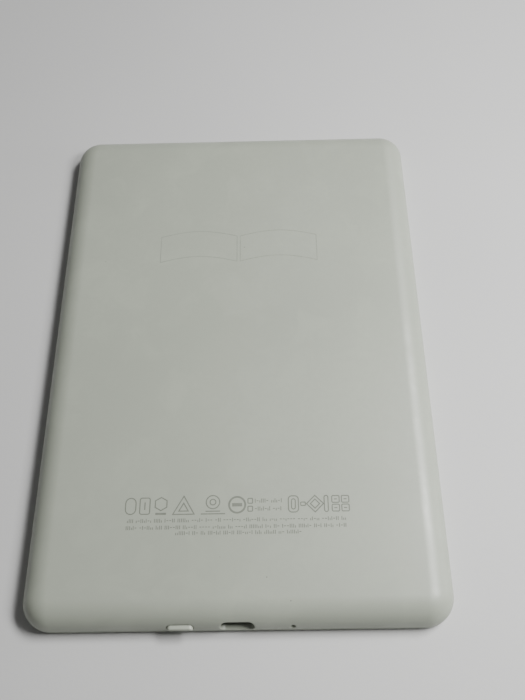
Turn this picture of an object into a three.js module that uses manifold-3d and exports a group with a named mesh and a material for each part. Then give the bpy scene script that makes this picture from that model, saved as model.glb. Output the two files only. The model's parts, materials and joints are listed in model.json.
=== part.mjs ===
// A 6-inch touch-screen e-reader, lying on its screen with its back up.
// Millimetres. X runs to the right along the bottom edge, Y runs from the bottom edge (power button and
// charging port) to the top edge, Z runs from the screen side (0) to the back. The origin is the centre
// of the face that it lies on.
import * as THREE from "three";
import { mergeVertices } from "three/addons/utils/BufferGeometryUtils.js";
import Module from "manifold-3d";

const wasm = await Module();
wasm.setup();

// ---------------------------------------------------------------- driving dimensions

const BODY = { width: 108.6, length: 157.8, thickness: 8.0, corner: 7.5 };
const SIDE_CURVE = { inset: 7.0, rise: 5.9 }; // quarter ellipse from the side up to the flat back
const WALL = { side: 1.2, back: 1.1 };
const CAVITY_CURVE = { inset: 5.8, rise: 5.0 };
const SEAM = { z: 1.6, gap: 0.15 }; // where the bezel meets the rear cover
const FRONT_EDGE = 0.5; // rounding of the bezel's front edge
const CORNER_STEPS = 5; // fineness of the body's rounded corners
const LIP = 1.0; // thickness of the bezel's face around the screen
const TONGUE = { outer: 1.6, inner: 2.5, top: 3.2 }; // insets of the wall inside the rear cover
const WINDOW = { width: 91.4, length: 123.2, centreY: 6.4, corner: 1.0 };

const CONTACT_GAP = 0.02; // left between parts that touch
const OVERLAP = 0.1; // how far solids that are joined run into each other
const BEYOND = 1; // how far a cut runs past the faces that it opens

// Each display layer: height of its screen-side face, thickness, width, corner and reach along Y.
const LAYER = {
  gasket: { z: 1.0, t: 0.2, width: 97.2, corner: 1.5, from: -60, to: 72.3 },
  film: { z: 1.2, t: 0.2, width: 97.2, corner: 1.5, from: -60, to: 72.3 },
  touch: { z: 1.42, t: 0.14, width: 96.4, corner: 1.2, from: -59, to: 71.6 },
  guide: { z: 1.6, t: 0.4, width: 96.4, corner: 1.2, from: -57.4, to: 71.6 },
  paper: { z: 2.02, t: 0.3, width: 95, corner: 1.0, from: -56.6, to: 70.8 },
  backplane: { z: 2.34, t: 0.5, width: 96.4, corner: 0.8, from: -63.5, to: 71.6 },
};
const MID_FRAME = { z: 2.95, t: 0.6, inset: 2.8 };
const BOARD = { z: 4.05, t: 0.8, left: -48, right: 48, bottom: -73.4, top: -33, corner: 2 };
const BOARD_GAP = { half: 17, bottom: -66.8 }; // the open middle of the board, above its bottom strip
const topOf = ({ z, t }) => z + t;
const FRAME_TOP = topOf(MID_FRAME);
const BOARD_TOP = topOf(BOARD);

// Everything along the bottom edge is centred on this height.
const PORT_Z = 3.8;
const BOTTOM_Y = -BODY.length / 2;
const OPENING = { width: 8.6, height: 3.2 }; // mouth of the charging port in the rear cover
const PORT_POCKET = { width: 9.4, height: 3.66, front: BOTTOM_Y + 1.7 }; // room behind it for the shell
const BUTTON = { x: -14.2, width: 6.46, height: 1.9, proud: 0.3, travel: 0.3, edge: 0.2 };
const BUTTON_CLEARANCE = 0.18;
const LED = { x: 13.8, pipe: 0.55, hole: 0.68 }; // charge indicator: radii of its light pipe and its hole
const PORT_GAP = { from: -20, to: 17.5 }; // stretch of the bottom edge with no tongue on the bezel

// Thick blocks behind the bottom wall, one round each opening.
const COLLAR_BACK_Y = BOTTOM_Y + 2.7;
const COLLARS = [
  { x: BUTTON.x, half: 5, low: 2.25, high: 5.4 },
  { x: 0, half: 5.5, low: 1.75, high: 6.4 },
  { x: LED.x, half: 2, low: 2.25, high: 5.2 },
];

const RIB = { thickness: 0.8, depth: 0.4 }; // on the inside of the back
const CROSS_RIBS = { half: 42, y: [56, 64, 72] };
const BATTERY_RIB = { sideRoom: 4, endRoom: 8, corner: 3 };

const SNAPS = {
  width: 5,
  side: [62, 25, -10, -52], // Y of the pairs on the long sides
  top: [-38, 0, 38], // X of those on the top edge
  bottom: [-42, 42],
  hook: { outer: 1.05, inner: 1.8, z0: 2.3, z1: 2.85 },
  pocket: { outer: 0.85, inner: 2.2, z0: 2.1, z1: 3.0, room: 0.3 },
};

const SCREW = {
  shank: 0.6, // radius, like the head and the hole that it passes through
  head: 1.1,
  clearHole: 0.75,
  headHeight: 0.45,
  recess: 0.22,
  recessHalf: 0.6,
  frameLength: 2.2,
  boardLength: 1.6,
};
const BOSS = { radius: 1.55, hole: 0.72, floor: 1.25 };
const STANDOFF_RADIUS = 1.8;
const FRAME_SCREWS = [
  [-30, 74.9],
  [30, 74.9],
  [-50.35, 45],
  [50.35, 45],
  [-50.35, -30],
  [50.35, -30],
  [-32, -74.9],
  [32, -74.9],
];
const BOARD_SCREWS = [
  [-45, -70],
  [45, -70],
  [-45, -37],
  [45, -37],
];

const BATTERY = { width: 54, length: 60, z: 3.7, t: 2.7, centreY: 8, edge: 0.6, corner: 1.8 };
const TERRACE = { top: 4.75, t: 0.3, length: 4, half: 25 }; // the cell's sealed strip, under its circuit

// ---------------------------------------------------------------- solids

// A closed geometry as a solid that can be joined and cut.
function solid(geometry) {
  const bare = geometry.clone();
  bare.deleteAttribute("normal");
  bare.deleteAttribute("uv");
  const merged = mergeVertices(bare, 1e-4);
  return new wasm.Manifold(
    new wasm.Mesh({
      numProp: 3,
      vertProperties: merged.attributes.position.array,
      triVerts: new Uint32Array(merged.index.array),
    }),
  );
}

function geometryOf(manifold) {
  const mesh = manifold.getMesh();
  const geometry = new THREE.BufferGeometry();
  geometry.setAttribute("position", new THREE.BufferAttribute(mesh.vertProperties, 3));
  geometry.setIndex(new THREE.BufferAttribute(mesh.triVerts, 1));
  geometry.computeVertexNormals();
  return geometry;
}

const join = (first, ...others) => others.reduce((sum, other) => sum.add(other), first);
const cut = (first, ...others) => others.reduce((rest, other) => rest.subtract(other), first);

// The values from one half-width below the centre to one above it.
const about = (centre, half) => [centre - half, centre + half];

// Both ends of a cut that passes right through a layer.
const through = (layer) => [layer.z - BEYOND, topOf(layer) + BEYOND];

// A box from its lowest to its highest value along each axis.
function block([x0, x1], [y0, y1], [z0, z1]) {
  const geometry = new THREE.BoxGeometry(x1 - x0, y1 - y0, z1 - z0);
  geometry.translate((x0 + x1) / 2, (y0 + y1) / 2, (z0 + z1) / 2);
  return solid(geometry);
}

function roundedRectangle(width, length, radius) {
  const x = width / 2 - radius;
  const y = length / 2 - radius;
  const quarter = Math.PI / 2;
  const shape = new THREE.Shape();
  shape.absarc(x, y, radius, 0, quarter);
  shape.absarc(-x, y, radius, quarter, 2 * quarter);
  shape.absarc(-x, -y, radius, 2 * quarter, 3 * quarter);
  shape.absarc(x, -y, radius, 3 * quarter, 4 * quarter);
  return shape;
}

// A flat sheet with rounded corners, centred on (0, centreY), with its lower face at z.
function sheet({ width, length, centreY = 0, corner, z, t, segments = 4 }) {
  const geometry = new THREE.ExtrudeGeometry(roundedRectangle(width, length, corner), {
    depth: t,
    bevelEnabled: false,
    curveSegments: segments,
  });
  geometry.translate(0, centreY, z);
  return solid(geometry);
}

// A block whose sides curve in to a flat top along a quarter ellipse.
function domedBlock({ width, length, corner, inset, rise, bottom, top }) {
  const outline = roundedRectangle(width - 2 * inset, length - 2 * inset, corner - inset);
  const geometry = new THREE.ExtrudeGeometry(outline, {
    depth: top - rise - bottom,
    bevelThickness: rise,
    bevelSize: inset,
    bevelSegments: 8,
    curveSegments: CORNER_STEPS,
  });
  geometry.translate(0, 0, bottom);
  return cut(solid(geometry), block([-width, width], [-length, length], [bottom - 2 * rise, bottom]));
}

// A round bar along Z.
function post({ x, y, radius, z0, z1, sides = 12 }) {
  const geometry = new THREE.CylinderGeometry(radius, radius, z1 - z0, sides);
  geometry.rotateX(Math.PI / 2);
  geometry.translate(x, y, (z0 + z1) / 2);
  return solid(geometry);
}

// A bar along Y with a stadium section (round when width equals height), centred on (x, z).
function stadiumBar({ x = 0, z = PORT_Z, width, height, y0, y1, bevel = 0, segments = 6 }) {
  const outline = roundedRectangle(width - 2 * bevel, height - 2 * bevel, height / 2 - bevel);
  const geometry = new THREE.ExtrudeGeometry(outline, {
    depth: y1 - y0 - 2 * bevel,
    bevelEnabled: bevel > 0,
    bevelThickness: bevel,
    bevelSize: bevel,
    bevelSegments: 2,
    curveSegments: segments,
  });
  geometry.rotateX(Math.PI / 2); // the extrusion now runs towards -Y
  geometry.translate(x, y1 - bevel, z);
  return solid(geometry);
}

// An outline moved in from its sides, or out of them where the distance is negative.
function shrunk(outline, distance) {
  return {
    ...outline,
    width: outline.width - 2 * distance,
    length: outline.length - 2 * distance,
    corner: outline.corner - distance,
  };
}

const bodyOutline = (inset) =>
  shrunk({ width: BODY.width, length: BODY.length, corner: BODY.corner }, inset);

// The wall between two outlines, from one height to another.
function ringWall({ outer, inner, z0, z1 }) {
  const layer = { z: z0, t: z1 - z0 };
  const hollow = { z: z0 - BEYOND, t: z1 - z0 + 2 * BEYOND };
  return cut(sheet({ ...outer, ...layer }), sheet({ ...inner, ...hollow }));
}

// ---------------------------------------------------------------- materials

const plastic = (color, roughness = 0.6) =>
  new THREE.MeshStandardMaterial({ color, roughness, metalness: 0 });
const metal = (color, roughness = 0.35) =>
  new THREE.MeshStandardMaterial({ color, roughness, metalness: 1 });
const clear = (color, roughness, opacity) =>
  new THREE.MeshStandardMaterial({ color, roughness, transparent: true, opacity });
const MATERIAL = {
  cover: plastic(0xacb1a8, 0.55),
  bezel: plastic(0xa3a89f, 0.6),
  button: plastic(0xb6bbb2, 0.5),
  gasket: plastic(0x26282a, 0.9),
  film: clear(0xd2d2cc, 0.45, 0.25),
  guide: clear(0xe6ecee, 0.1, 0.35),
  paper: plastic(0xc9cac4, 0.85),
  glass: plastic(0x8f9a98, 0.15),
  flex: plastic(0xa8702a, 0.45),
  frame: metal(0x9a9d9f, 0.5),
  steel: metal(0xc4c6c8, 0.3),
  screw: metal(0x77797c, 0.35),
  board: plastic(0x1d4d3a, 0.4),
  chip: plastic(0x1b1c1e, 0.5),
  connector: plastic(0xe3ddca, 0.5),
  blackConnector: plastic(0x222326, 0.5),
  pouch: metal(0xb9bcc0, 0.4),
  tape: plastic(0xe9e9e4, 0.6),
  foam: plastic(0x3a3c40, 0.95),
  led: plastic(0xf3f1dc, 0.3),
  lightPipe: plastic(0xdfe6e4, 0.15),
  redLead: plastic(0xb02622, 0.45),
  blackLead: plastic(0x1a1a1c, 0.45),
  gold: metal(0xc9a24a, 0.3),
};

const eReader = new THREE.Group();

function subassembly() {
  const group = new THREE.Group();
  eReader.add(group);
  return group;
}

// Adds one named sub-part. A solid made in the group's own frame needs no position.
function add(name, shape, material, group = eReader, position = [0, 0, 0]) {
  const mesh = new THREE.Mesh(shape.isBufferGeometry ? shape : geometryOf(shape), material);
  mesh.name = name;
  mesh.position.set(...position);
  group.add(mesh);
}

// ---------------------------------------------------------------- rear cover

// One box for each snap, between two insets from the outside and two heights.
function snapBoxes({ outer, inner, z0, z1, room = 0 }) {
  const half = SNAPS.width / 2 + room;
  const right = [BODY.width / 2 - inner, BODY.width / 2 - outer];
  const left = [-right[1], -right[0]];
  const top = [BODY.length / 2 - inner, BODY.length / 2 - outer];
  const bottom = [-top[1], -top[0]];
  return [
    ...SNAPS.side.flatMap((y) => [left, right].map((x) => block(x, about(y, half), [z0, z1]))),
    ...SNAPS.top.map((x) => block(about(x, half), top, [z0, z1])),
    ...SNAPS.bottom.map((x) => block(about(x, half), bottom, [z0, z1])),
  ];
}

function coverRibs(roof) {
  const height = [roof - RIB.depth, roof + OVERLAP];
  const outer = {
    width: BATTERY.width + 2 * BATTERY_RIB.sideRoom,
    length: BATTERY.length + 2 * BATTERY_RIB.endRoom,
    centreY: BATTERY.centreY,
    corner: BATTERY_RIB.corner,
  };
  const batteryRib = ringWall({ outer, inner: shrunk(outer, RIB.thickness), z0: height[0], z1: height[1] });
  const crossRibs = CROSS_RIBS.y.map((y) =>
    block(about(0, CROSS_RIBS.half), about(y, RIB.thickness / 2), height),
  );
  return [batteryRib, ...crossRibs];
}

function coverOpenings() {
  const wall = { y0: BOTTOM_Y - 2 * BEYOND, y1: COLLAR_BACK_Y + BEYOND };
  const { width, height, front } = PORT_POCKET;
  const buttonHole = {
    x: BUTTON.x,
    width: BUTTON.width + 2 * BUTTON_CLEARANCE,
    height: BUTTON.height + 2 * BUTTON_CLEARANCE,
  };
  return [
    stadiumBar({ ...wall, ...OPENING }),
    stadiumBar({ ...wall, width, height, y0: front }),
    stadiumBar({ ...wall, ...buttonHole }),
    stadiumBar({ ...wall, x: LED.x, width: 2 * LED.hole, height: 2 * LED.hole, segments: 4 }),
  ];
}

function rearCover() {
  const bottom = SEAM.z + SEAM.gap;
  const roof = BODY.thickness - WALL.back;
  const outside = domedBlock({ ...BODY, ...SIDE_CURVE, bottom, top: BODY.thickness });
  const inside = { ...bodyOutline(WALL.side), ...CAVITY_CURVE };
  const cavity = domedBlock({ ...inside, bottom: bottom - BEYOND, top: roof });
  const collarDepth = [BOTTOM_Y + WALL.side - OVERLAP, COLLAR_BACK_Y];
  const collars = COLLARS.map(({ x, half, low, high }) =>
    block(about(x, half), collarDepth, [low, high]).intersect(outside),
  );
  const whole = join(cut(outside, cavity), ...collars, ...coverRibs(roof));
  return cut(whole, ...coverOpenings(), ...snapBoxes(SNAPS.pocket));
}

// ---------------------------------------------------------------- front bezel

function frontBezel() {
  const edge = bodyOutline(FRONT_EDGE);
  const geometry = new THREE.ExtrudeGeometry(roundedRectangle(edge.width, edge.length, edge.corner), {
    depth: SEAM.z,
    bevelThickness: FRONT_EDGE,
    bevelSize: FRONT_EDGE,
    bevelSegments: 3,
    curveSegments: CORNER_STEPS,
  });
  geometry.translate(0, 0, FRONT_EDGE);
  const above = block(about(0, BODY.width), about(0, BODY.length), [SEAM.z, 4 * SEAM.z]);
  const pocket = sheet({ ...bodyOutline(TONGUE.inner), z: LIP, t: BEYOND });
  const window = sheet({ ...WINDOW, z: -BEYOND, t: LIP + 2 * BEYOND });
  const plate = cut(solid(geometry), above, pocket, window);
  const wall = ringWall({
    outer: bodyOutline(TONGUE.outer),
    inner: bodyOutline(TONGUE.inner),
    z0: SEAM.z - OVERLAP,
    z1: TONGUE.top,
  });
  const bossTop = MID_FRAME.z - CONTACT_GAP;
  const bosses = FRAME_SCREWS.map(([x, y]) =>
    post({ x, y, radius: BOSS.radius, z0: LIP - OVERLAP, z1: bossTop }),
  );
  const holes = FRAME_SCREWS.map(([x, y]) =>
    post({ x, y, radius: BOSS.hole, z0: BOSS.floor, z1: bossTop + BEYOND }),
  );
  const portGap = block(
    [PORT_GAP.from, PORT_GAP.to],
    [BOTTOM_Y + TONGUE.outer - OVERLAP, BOTTOM_Y + TONGUE.inner + BEYOND],
    [SEAM.z, TONGUE.top + BEYOND],
  );
  return cut(join(plate, wall, ...snapBoxes(SNAPS.hook), ...bosses), portGap, ...holes);
}

// ---------------------------------------------------------------- display stack

const FRONTLIGHT = { x: [-33, -11, 11, 33], width: 3, depth: 1, y: -58.1 };
const FRONTLIGHT_STRIP = { half: 37, y: [-60.2, -57.2], gap: 0.06 };
const FRONTLIGHT_NOTCH = { half: 1.7, depth: 0.5 };
const DRIVER_CHIP = { half: 9, y: [-61.7, -60.7], t: 0.22 };
const FLEX_SLOT = { y: -65.3, half: 17, halfWidth: 1.1 }; // in the frame, where the flexes pass
const FLEX = { thickness: 0.12, bend: 0.45, plugZ: 5.25, endY: -68.3 };
const CONNECTOR = {
  display: { x: 0, width: 19, flex: 16 },
  touch: { x: 13, width: 6, flex: 4.6 },
  frontlight: { x: -13.5, width: 5.2, flex: 3.4 },
};

function layerOutline({ width, corner, from, to }) {
  return { width, corner, length: to - from, centreY: (from + to) / 2 };
}

const displayLayer = (layer) => sheet({ ...layerOutline(layer), z: layer.z, t: layer.t });

function displayGasket() {
  const overlapOfWindow = 0.4;
  return ringWall({
    outer: layerOutline(LAYER.gasket),
    inner: { ...shrunk(WINDOW, -overlapOfWindow), corner: WINDOW.corner },
    z0: LAYER.gasket.z,
    z1: topOf(LAYER.gasket),
  });
}

function lightGuide() {
  const bottom = LAYER.guide.from;
  const notches = FRONTLIGHT.x.map((x) =>
    block(
      about(x, FRONTLIGHT_NOTCH.half),
      [bottom - BEYOND, bottom + FRONTLIGHT_NOTCH.depth],
      through(LAYER.guide),
    ),
  );
  return cut(displayLayer(LAYER.guide), ...notches);
}

// A flexible circuit: a centreline in the YZ plane, thickened and extruded along X.
function ribbon(path, { x, width, thickness = FLEX.thickness }) {
  const points = path.getPoints(5);
  const sides = [[], []];
  points.forEach((point, i) => {
    const before = points[Math.max(i - 1, 0)];
    const after = points[Math.min(i + 1, points.length - 1)];
    const along = after.clone().sub(before).normalize();
    const across = new THREE.Vector2(-along.y, along.x).multiplyScalar(thickness / 2);
    sides[0].push(point.clone().add(across));
    sides[1].unshift(point.clone().sub(across));
  });
  const shape = new THREE.Shape([...sides[0], ...sides[1]]);
  const geometry = new THREE.ExtrudeGeometry(shape, { depth: width, bevelEnabled: false });
  const [X, Y, Z] = [new THREE.Vector3(1, 0, 0), new THREE.Vector3(0, 1, 0), new THREE.Vector3(0, 0, 1)];
  geometry.applyMatrix4(new THREE.Matrix4().makeBasis(Y, Z, X));
  geometry.translate(x - width / 2, 0, 0);
  return solid(geometry);
}

// From the display side at (startY, startZ), up through the frame's slot and into a connector.
function connectorFlex({ x, flex }, startY, startZ) {
  const { bend, plugZ, endY } = FLEX;
  const path = new THREE.Path();
  path.moveTo(startY, startZ);
  path.lineTo(FLEX_SLOT.y + bend, startZ);
  path.absarc(FLEX_SLOT.y + bend, startZ + bend, bend, 1.5 * Math.PI, Math.PI, true);
  path.absarc(FLEX_SLOT.y - bend, plugZ - bend, bend, 0, Math.PI / 2, false);
  path.lineTo(endY, plugZ);
  return ribbon(path, { x, width: flex });
}

function frontlightFlex() {
  const { half, y, gap } = FRONTLIGHT_STRIP;
  const z = topOf(LAYER.guide) + gap;
  const strip = block(about(0, half), y, [z, z + FLEX.thickness]);
  const tailStart = y[0] + 4 * OVERLAP;
  return join(strip, connectorFlex(CONNECTOR.frontlight, tailStart, z + FLEX.thickness / 2));
}

function displayFlex() {
  const besideChip = 0.4;
  const under = LAYER.backplane.z - CONTACT_GAP - FLEX.thickness / 2;
  return connectorFlex(CONNECTOR.display, DRIVER_CHIP.y[0] - besideChip, under);
}

function touchFlex() {
  const middle = LAYER.touch.z + LAYER.touch.t / 2;
  return connectorFlex(CONNECTOR.touch, LAYER.touch.from - 1.5 * CONTACT_GAP, middle);
}

// ---------------------------------------------------------------- middle frame

const TRAY = { room: 1, wall: 0.8, corner: 2.8, height: 0.65 }; // low wall round the battery
const STIFFENER = { x: 39, half: 0.5, y: [2, 68], height: 0.8 };
const FRAME_WINDOW = { x: 20, y: 57, width: 30, length: 21, corner: 3 };
const PORT_NOTCH_TOP = -70.2;

function midFrame() {
  const plate = sheet({ ...bodyOutline(MID_FRAME.inset), z: MID_FRAME.z, t: MID_FRAME.t });
  const trayGrowth = 2 * (TRAY.room + TRAY.wall);
  const trayOuter = {
    width: BATTERY.width + trayGrowth,
    length: BATTERY.length + trayGrowth,
    centreY: BATTERY.centreY,
    corner: TRAY.corner,
  };
  const tray = ringWall({
    outer: trayOuter,
    inner: shrunk(trayOuter, TRAY.wall),
    z0: FRAME_TOP - OVERLAP,
    z1: FRAME_TOP + TRAY.height,
  });
  const stiffeners = [-1, 1].map((side) =>
    block(
      about(side * STIFFENER.x, STIFFENER.half),
      STIFFENER.y,
      [FRAME_TOP - OVERLAP, FRAME_TOP + STIFFENER.height],
    ),
  );
  const standoffs = BOARD_SCREWS.map(([x, y]) =>
    post({ x, y, radius: STANDOFF_RADIUS, z0: MID_FRAME.z, z1: BOARD.z - CONTACT_GAP / 2 }),
  );
  const portNotch = block(
    [PORT_GAP.from, PORT_GAP.to],
    [BOTTOM_Y - BEYOND, PORT_NOTCH_TOP],
    through(MID_FRAME),
  );
  const flexSlot = block(
    about(0, FLEX_SLOT.half),
    about(FLEX_SLOT.y, FLEX_SLOT.halfWidth),
    through(MID_FRAME),
  );
  const windowPlate = sheet({ ...FRAME_WINDOW, z: MID_FRAME.z - BEYOND, t: MID_FRAME.t + 2 * BEYOND });
  const windows = [-1, 1].map((side) => windowPlate.translate([side * FRAME_WINDOW.x, FRAME_WINDOW.y, 0]));
  const [z0, z1] = [MID_FRAME.z - BEYOND, BOARD.z + BEYOND];
  const holes = [
    ...FRAME_SCREWS.map(([x, y]) => post({ x, y, radius: SCREW.clearHole, z0, z1 })),
    ...BOARD_SCREWS.map(([x, y]) => post({ x, y, radius: BOSS.hole, z0, z1 })),
  ];
  return cut(join(plate, tray, ...standoffs, ...stiffeners), portNotch, flexSlot, ...windows, ...holes);
}

// ---------------------------------------------------------------- mainboard

const USB = { width: 8.94, height: 3.26, wall: 0.3, front: PORT_POCKET.front + 0.1, back: -70.4 };
const USB_TAB = { inner: 0.9, outer: 1.6, y: [-73.2, -71.4], thickness: 0.25 };
// The plastic inside it, as half widths and half heights and distances from its back end.
const USB_BASE_LENGTH = 2;
const USB_BLADE = { half: 3.35, halfHeight: 0.35, fromMouth: 0.5 };
const USB_STEP = { half: 3.6, halfHeight: 0.55, length: 3.2 };
const SWITCH = { width: 4.7, below: 0.8, front: -74.9, back: -72.0 };
const NOTCH = { side: 0.25, end: 0.3 }; // room in the board round the port and the switch
const SHIELD = { wall: 0.2, height: 1.3 };
const SHIELDS = {
  soc_shield: { x: [-43, -19.5], y: [-66, -42] },
  radio_shield: { x: [20, 42], y: [-65, -48.5] },
};
const VENT = { radius: 0.5, pitch: 4, fromEnd: 3, fromSide: 2 };
const CHIPS = {
  soc_chip: { x: -35.5, y: -54, width: 12, length: 12, height: 0.9 },
  memory_chip: { x: -24.5, y: -54, width: 7.5, length: 11, height: 0.8 },
  storage_chip: { x: 27, y: -40.5, width: 13, length: 11.5, height: 0.9 },
  power_chip: { x: 35.5, y: -56.5, width: 6, length: 6, height: 0.8 },
  radio_chip: { x: 25.5, y: -56.5, width: 5.5, length: 5.5, height: 0.7 },
  hall_sensor: { x: 45.4, y: -55, width: 1.6, length: 2.9, height: 1.1 },
};
const FLEX_CONNECTOR = {
  front: -67.1,
  back: -69.9,
  height: 1.0,
  lock: { depth: 0.9, rise: 0.25, from: 0.5, cheek: 0.5 },
  slot: { half: 0.2, floor: 1, cheek: 0.7 },
};
const ON_BOARD = BOARD_TOP + CONTACT_GAP; // where a part on the board starts

function mainboard() {
  const { left, right, bottom, top } = BOARD;
  const outline = sheet({
    ...BOARD,
    width: right - left,
    length: top - bottom,
    centreY: (top + bottom) / 2,
  });
  const middle = block(about(0, BOARD_GAP.half), [BOARD_GAP.bottom, top + BEYOND], through(BOARD));
  const notch = (x, { width, back }) =>
    block(about(x, width / 2 + NOTCH.side), [bottom - BEYOND, back + NOTCH.end], through(BOARD));
  const [z0, z1] = through(BOARD);
  const holes = BOARD_SCREWS.map(([x, y]) => post({ x, y, radius: SCREW.clearHole, z0, z1 }));
  return cut(outline, middle, notch(0, USB), notch(BUTTON.x, SWITCH), ...holes);
}

// A folded shielding can, open towards the board, with rows of vent holes.
function shieldCan({ x, y }) {
  const z = [ON_BOARD, BOARD_TOP + SHIELD.height];
  const within = ([low, high]) => [low + SHIELD.wall, high - SHIELD.wall];
  const room = block(within(x), within(y), [z[0] - BEYOND, z[1] - SHIELD.wall]);
  const vents = [];
  for (let u = x[0] + VENT.fromEnd; u < x[1] - VENT.fromSide; u += VENT.pitch) {
    for (const v of [y[0] + VENT.fromSide, y[1] - VENT.fromSide]) {
      vents.push(post({ x: u, y: v, radius: VENT.radius, z0: z[0], z1: z[1] + BEYOND, sides: 8 }));
    }
  }
  return cut(block(x, y, z), room, ...vents);
}

const chip = ({ x, y, width, length, height }) =>
  block(about(x, width / 2), about(y, length / 2), [ON_BOARD, BOARD_TOP + height]);

// A flip-lock connector: a block with a slot for the flex and a raised locking bar at the rear.
function flexConnector({ x, width }) {
  const { front, back, height, lock, slot } = FLEX_CONNECTOR;
  const half = width / 2;
  const body = block(about(x, half), [back, front], [BOARD_TOP, BOARD_TOP + height]);
  const bar = block(
    about(x, half - lock.cheek),
    [back, back + lock.depth],
    [BOARD_TOP + lock.from, BOARD_TOP + height + lock.rise],
  );
  const room = block(
    about(x, half - slot.cheek),
    [back + slot.floor, front + BEYOND],
    about(FLEX.plugZ, slot.half),
  );
  return cut(join(body, bar), room);
}

// ---------------------------------------------------------------- USB-C receptacle

function usbShell() {
  const edge = USB.width / 2;
  const tube = stadiumBar({ width: USB.width, height: USB.height, y0: USB.front, y1: USB.back });
  const tabZ = [ON_BOARD, BOARD_TOP + USB_TAB.thickness];
  const rightTab = block([edge - USB_TAB.inner, edge + USB_TAB.outer], USB_TAB.y, tabZ);
  const leftTab = block([-edge - USB_TAB.outer, -edge + USB_TAB.inner], USB_TAB.y, tabZ);
  const bore = stadiumBar({
    width: USB.width - 2 * USB.wall,
    height: USB.height - 2 * USB.wall,
    y0: USB.front - BEYOND,
    y1: USB.back + BEYOND,
  });
  return cut(join(tube, leftTab, rightTab), bore);
}

function usbTongue() {
  const base = stadiumBar({
    width: USB.width - 2 * (USB.wall + CONTACT_GAP),
    height: USB.height - 2 * (USB.wall + CONTACT_GAP),
    y0: USB.back - USB_BASE_LENGTH,
    y1: USB.back,
  });
  const insideBase = USB.back - USB_BASE_LENGTH / 2;
  const blade = block(
    about(0, USB_BLADE.half),
    [USB.front + USB_BLADE.fromMouth, insideBase],
    about(PORT_Z, USB_BLADE.halfHeight),
  );
  const step = block(
    about(0, USB_STEP.half),
    [USB.back - USB_STEP.length, insideBase],
    about(PORT_Z, USB_STEP.halfHeight),
  );
  return join(base, blade, step);
}

// ---------------------------------------------------------------- power button and its switch

const FLANGE = { front: COLLAR_BACK_Y + 0.05, thickness: 0.5, width: 8.6, height: 2.2 };
const NUB = { width: 2.4, height: 1.0, depth: 0.1 };
const PLUNGER = { half: 1.1, halfHeight: 0.4, tip: FLANGE.front + FLANGE.thickness + NUB.depth + 0.05 };
const SWITCH_ROOM = { half: 1.3, halfHeight: 0.5 }; // for the plunger and the dome
const SWITCH_TAB = { reach: 1, thickness: 0.2, y: [-73.2, -72.3] };
const DOME = { base: -73.05, rise: BUTTON.travel + 0.02, thickness: 0.08, width: 2.3, height: 0.8 };

// The solids in this section have their heights measured from the middle of the button.

function powerButton() {
  const backY = FLANGE.front + FLANGE.thickness;
  const cap = stadiumBar({
    z: 0,
    width: BUTTON.width,
    height: BUTTON.height,
    y0: BOTTOM_Y - BUTTON.proud,
    y1: FLANGE.front + FLANGE.thickness / 2,
    bevel: BUTTON.edge,
  });
  const flange = block(about(0, FLANGE.width / 2), [FLANGE.front, backY], about(0, FLANGE.height / 2));
  const nub = block(
    about(0, NUB.width / 2),
    [backY - OVERLAP, backY + NUB.depth],
    about(0, NUB.height / 2),
  );
  return join(cap, flange, nub);
}

// The housing hangs in a notch of the board by two solder tabs that rest on it.
function switchBody() {
  const tabTop = BOARD_TOP + SWITCH_TAB.thickness - PORT_Z;
  const half = SWITCH.width / 2;
  const body = block(about(0, half), [SWITCH.front, SWITCH.back], [-SWITCH.below, tabTop]);
  const tabs = block(about(0, half + SWITCH_TAB.reach), SWITCH_TAB.y, [ON_BOARD - PORT_Z, tabTop]);
  const room = block(
    about(0, SWITCH_ROOM.half),
    [SWITCH.front - BEYOND, DOME.base + CONTACT_GAP],
    about(0, SWITCH_ROOM.halfHeight),
  );
  return cut(join(body, tabs), room);
}

function switchPlunger() {
  const back = DOME.base - DOME.rise - DOME.thickness - CONTACT_GAP;
  return block(about(0, PLUNGER.half), [PLUNGER.tip, back], about(0, PLUNGER.halfHeight));
}

// A strip of spring steel, bowed towards the plunger, that snaps flat under it.
function switchDome() {
  const { base, rise, thickness, width, height } = DOME;
  const half = width / 2;
  const bow = (offset) =>
    new THREE.QuadraticBezierCurve(
      new THREE.Vector2(-half, base - offset),
      new THREE.Vector2(0, base - offset - 2 * rise),
      new THREE.Vector2(half, base - offset),
    );
  const inner = bow(0).getPoints(8);
  const outer = bow(thickness).getPoints(8).reverse();
  const geometry = new THREE.ExtrudeGeometry(new THREE.Shape([...outer, ...inner]), {
    depth: height,
    bevelEnabled: false,
  });
  geometry.translate(0, 0, -height / 2);
  return solid(geometry);
}

// ---------------------------------------------------------------- charge indicator

const CHARGE_LED = { y: -72.9, width: 1.6, length: 1.1, height: 0.7, sunk: 0.37 };
const PIPE_FLANGE = { half: 1.2, halfHeight: 0.9, y: [COLLAR_BACK_Y + 0.05, COLLAR_BACK_Y + 0.75] };
const PIPE_FROM_SURFACE = 0.75; // how deep the pipe's end sits in its hole
const PIPE_FROM_LED = 0.1;

function lightPipe() {
  const rod = stadiumBar({
    x: LED.x,
    width: 2 * LED.pipe,
    height: 2 * LED.pipe,
    y0: BOTTOM_Y + PIPE_FROM_SURFACE,
    y1: CHARGE_LED.y - CHARGE_LED.length / 2 - PIPE_FROM_LED,
    segments: 4,
  });
  const flange = block(about(LED.x, PIPE_FLANGE.half), PIPE_FLANGE.y, about(PORT_Z, PIPE_FLANGE.halfHeight));
  return join(rod, flange);
}

// ---------------------------------------------------------------- antenna

const ANTENNA_PATCH = { x: [37, 49.5], y: [-29, -1] };
const ANTENNA_FEED = { x: [38.5, 41.5], y: [-37, -28] };
const ANTENNA_CONTACT = { x: 40, y: -35.2, width: 1.6, length: 2.4 };

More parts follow.
